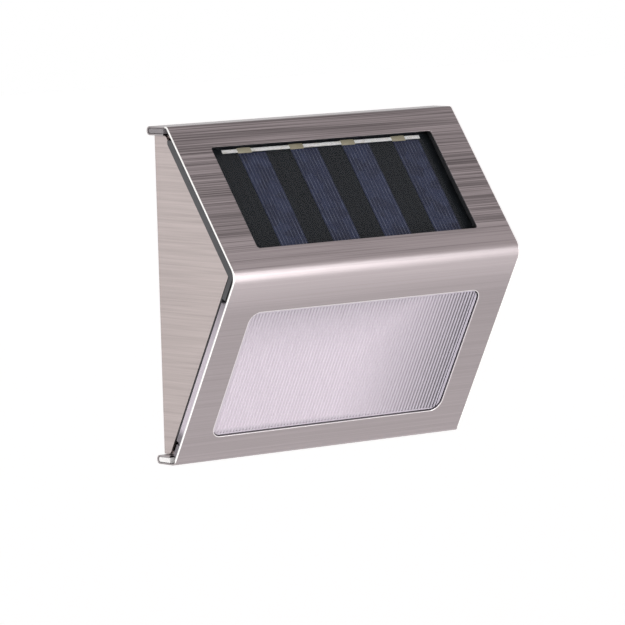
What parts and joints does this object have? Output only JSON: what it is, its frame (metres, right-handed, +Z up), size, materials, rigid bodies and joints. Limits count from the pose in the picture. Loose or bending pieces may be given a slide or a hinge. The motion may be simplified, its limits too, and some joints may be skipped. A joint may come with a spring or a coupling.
{
  "type": "solar fence light",
  "caption": "Solar wall and fence light: a bent brushed-steel cover with a solar panel above and a ribbed lens below, on a keyhole wall bracket.",
  "frame": {"origin": "midway between the two keyholes, on the back plate's rear face", "axes": "+X to the right seen from the room, +Y into the wall, +Z up"},
  "size_m": [0.118, 0.0431, 0.108],
  "materials": {
    "brushed_stainless": "cold-rolled stainless sheet with a fine horizontal brushing",
    "bracket_stainless": "stainless sheet, faintly brushed",
    "black_abs": "moulded ABS with a fine spark texture",
    "door_abs": "moulded ABS",
    "seal_rubber": "silicone rubber",
    "foam_tape": "closed-cell foam tape",
    "zinc_screw": "zinc-plated steel",
    "panel_laminate": "glass-epoxy laminate with black solder mask",
    "silicon_cell": "silicon with printed silver fingers",
    "tinned_ribbon": "tinned copper ribbon",
    "solder_tab": "fired silver paste with flux over it",
    "clear_resin": "clear cast epoxy",
    "frosted_lens": "translucent ribbed acrylic",
    "white_reflector": "white ABS",
    "green_laminate": "glass-epoxy laminate with green solder mask",
    "led_epoxy": "clear epoxy over a yellow phosphor",
    "component_epoxy": "moulded epoxy",
    "switch_shell": "tinned steel",
    "switch_abs": "moulded nylon",
    "nickel_can": "nickel-plated steel",
    "green_sleeve": "shrunk PVC sleeve",
    "nickel_contact": "nickel-plated spring steel",
    "red_pvc": "PVC insulation",
    "black_pvc": "PVC insulation"
  },
  "bodies": {
    "light": {"front_cover": "brushed_stainless", "wall_bracket": "bracket_stainless", "light_housing": "black_abs", "rear_case": "black_abs", "case_gasket": "seal_rubber", "case_screws": "zinc_screw", "panel_seal": "foam_tape", "panel_board": "panel_laminate", "solar_cells": "silicon_cell", "cell_ribbons": "tinned_ribbon", "cell_tabs": "solder_tab", "panel_resin": "clear_resin", "lens": "frosted_lens", "lens_seal": "foam_tape", "reflector": "white_reflector", "led_board": "green_laminate", "leds": "led_epoxy", "control_board": "green_laminate", "board_components": "component_epoxy", "board_screws": "zinc_screw", "switch_body": "switch_shell", "battery_cell": "nickel_can", "battery_jacket": "green_sleeve", "contact_plate": "nickel_contact", "contact_spring": "nickel_contact", "panel_lead_red": "red_pvc", "panel_lead_black": "black_pvc", "lamp_lead_red": "red_pvc", "lamp_lead_black": "black_pvc"},
    "switch_knob": {"switch_knob": "switch_abs"},
    "battery_door": {"battery_door": "door_abs"}
  },
  "joints": [
    {"name": "switch_slide", "type": "slide", "parent": "light", "child": "switch_knob", "axis": [1, 0, 0], "range_m": [0, 0.003]},
    {"name": "door_slide", "type": "slide", "parent": "light", "child": "battery_door", "axis": [1, 0, 0], "range_m": [0, 0.008]}
  ]
}
